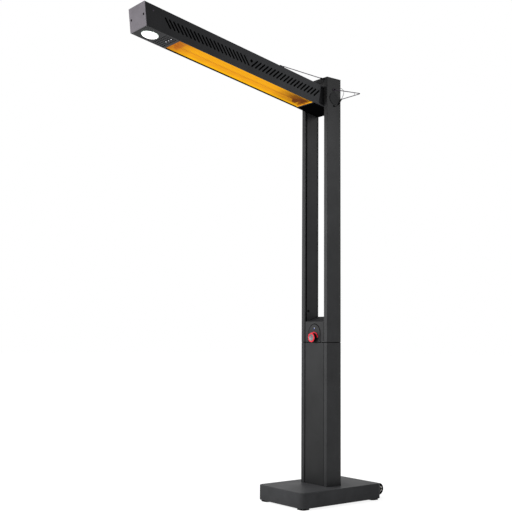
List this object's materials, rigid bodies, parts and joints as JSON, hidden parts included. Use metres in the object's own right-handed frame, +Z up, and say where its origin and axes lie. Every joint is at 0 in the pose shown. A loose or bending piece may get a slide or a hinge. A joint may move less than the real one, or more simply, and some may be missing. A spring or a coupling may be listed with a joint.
{
  "type": "infrared patio heater tower",
  "caption": "Free-standing infrared heater: weighted base on rear wheels, two-legged column and a glowing heater arm that folds down into the slot.",
  "frame": {"origin": "centre of the whole heater's footprint box, on the floor", "axes": "+Z up, -Y towards the tip of the heater arm and the side with the control knob, +Y towards the transport wheels, X across the column"},
  "size_m": [0.35, 1.4934, 2.3661],
  "materials": {
    "column_paint": "powder coat, fine satin",
    "base_paint": "powder coat, satin",
    "arm_paint": "powder coat, satin",
    "end_paint": "anodised, satin",
    "black_plastic": "matt",
    "knob_plastic": "satin",
    "red_plastic": "satin",
    "blue_plastic": "clear gloss",
    "lamp_lens": "frosted",
    "steel_dark": "plain",
    "ballast_steel": "mill finish",
    "wire_steel": "drawn wire",
    "wheel_metal": "cast, bright",
    "wheel_rubber": "moulded",
    "foot_rubber": "moulded",
    "reflector_metal": "bright, lit by the tubes",
    "tube_glass": "clear, glowing",
    "holder_ceramic": "unglazed",
    "cable_black": "smooth"
  },
  "bodies": {
    "stand": {"base_cover": "base_paint", "base_plate": "ballast_steel", "ballast_plate": "ballast_steel", "foot_front_left": "foot_rubber", "foot_front_right": "foot_rubber", "foot_rear_left": "foot_rubber", "foot_rear_right": "foot_rubber", "axle_bracket_left": "column_paint", "axle_bracket_right": "column_paint", "wheel_axle": "steel_dark", "pedestal_leg_left": "column_paint", "pedestal_leg_right": "column_paint", "pedestal_front_panel": "column_paint", "pedestal_rear_panel": "column_paint", "seam_collar": "black_plastic", "upper_leg_left": "column_paint", "upper_leg_right": "column_paint", "leg_cap_left": "black_plastic", "leg_cap_right": "black_plastic", "front_crossbar": "black_plastic", "control_panel": "column_paint", "control_rear_panel": "column_paint", "slot_shelf": "column_paint", "catch_pad": "foot_rubber", "dial_bezel": "black_plastic", "dial_arc": "red_plastic", "indicator_lens": "blue_plastic", "rotary_switch": "black_plastic", "hinge_bush_left": "steel_dark", "hinge_bush_right": "steel_dark", "hinge_disc_left": "column_paint", "hinge_disc_right": "column_paint", "bail_pivot_screw_left": "steel_dark", "bail_pivot_screw_right": "steel_dark", "lock_screw_left": "steel_dark", "lock_screw_right": "steel_dark", "screw_tether": "cable_black"},
    "arm": {"arm_housing": "arm_paint", "arm_end_cap": "black_plastic", "arm_end_plate": "end_paint", "led_lens": "lamp_lens", "led_body": "wheel_metal", "vent_plate": "arm_paint", "front_grille": "steel_dark", "reflector": "reflector_metal", "heating_tube_left": "tube_glass", "heating_tube_right": "tube_glass", "tube_holder_front": "holder_ceramic", "tube_holder_rear": "holder_ceramic", "hinge_cassette": "black_plastic", "hinge_shaft": "steel_dark", "stay_lug": "black_plastic"},
    "stay": {"stay_bail": "wire_steel"},
    "bail": {"rear_bail": "wire_steel"},
    "knob": {"knob_body": "knob_plastic", "knob_ring": "red_plastic"},
    "wheel_left": {"wheel_tyre_left": "wheel_rubber", "wheel_rim_left": "wheel_metal"},
    "wheel_right": {"wheel_tyre_right": "wheel_rubber", "wheel_rim_right": "wheel_metal"}
  },
  "joints": [
    {"name": "arm_fold", "type": "hinge", "parent": "stand", "child": "arm", "pos_m": [0, 0.41267, 2.11], "axis": [1, 0, 0], "range_deg": [0, 99.8]},
    {"name": "stay_swing", "type": "hinge", "parent": "arm", "child": "stay", "pos_m": [0, 0.08595, 2.22783], "axis": [1, 0, 0], "range_deg": [0, 90]},
    {"name": "bail_swing", "type": "hinge", "parent": "stand", "child": "bail", "pos_m": [0, 0.41267, 2.157], "axis": [1, 0, 0], "range_deg": [0, 80]},
    {"name": "knob_turn", "type": "hinge", "parent": "stand", "child": "knob", "pos_m": [0, 0.36267, 0.84], "axis": [0, 1, 0], "range_deg": [-60, 210]},
    {"name": "wheel_left_roll", "type": "hinge", "parent": "stand", "child": "wheel_left", "pos_m": [-0.119, 0.71667, 0.045], "axis": [1, 0, 0], "continuous": true},
    {"name": "wheel_right_roll", "type": "hinge", "parent": "stand", "child": "wheel_right", "pos_m": [0.119, 0.71667, 0.045], "axis": [1, 0, 0], "continuous": true}
  ]
}
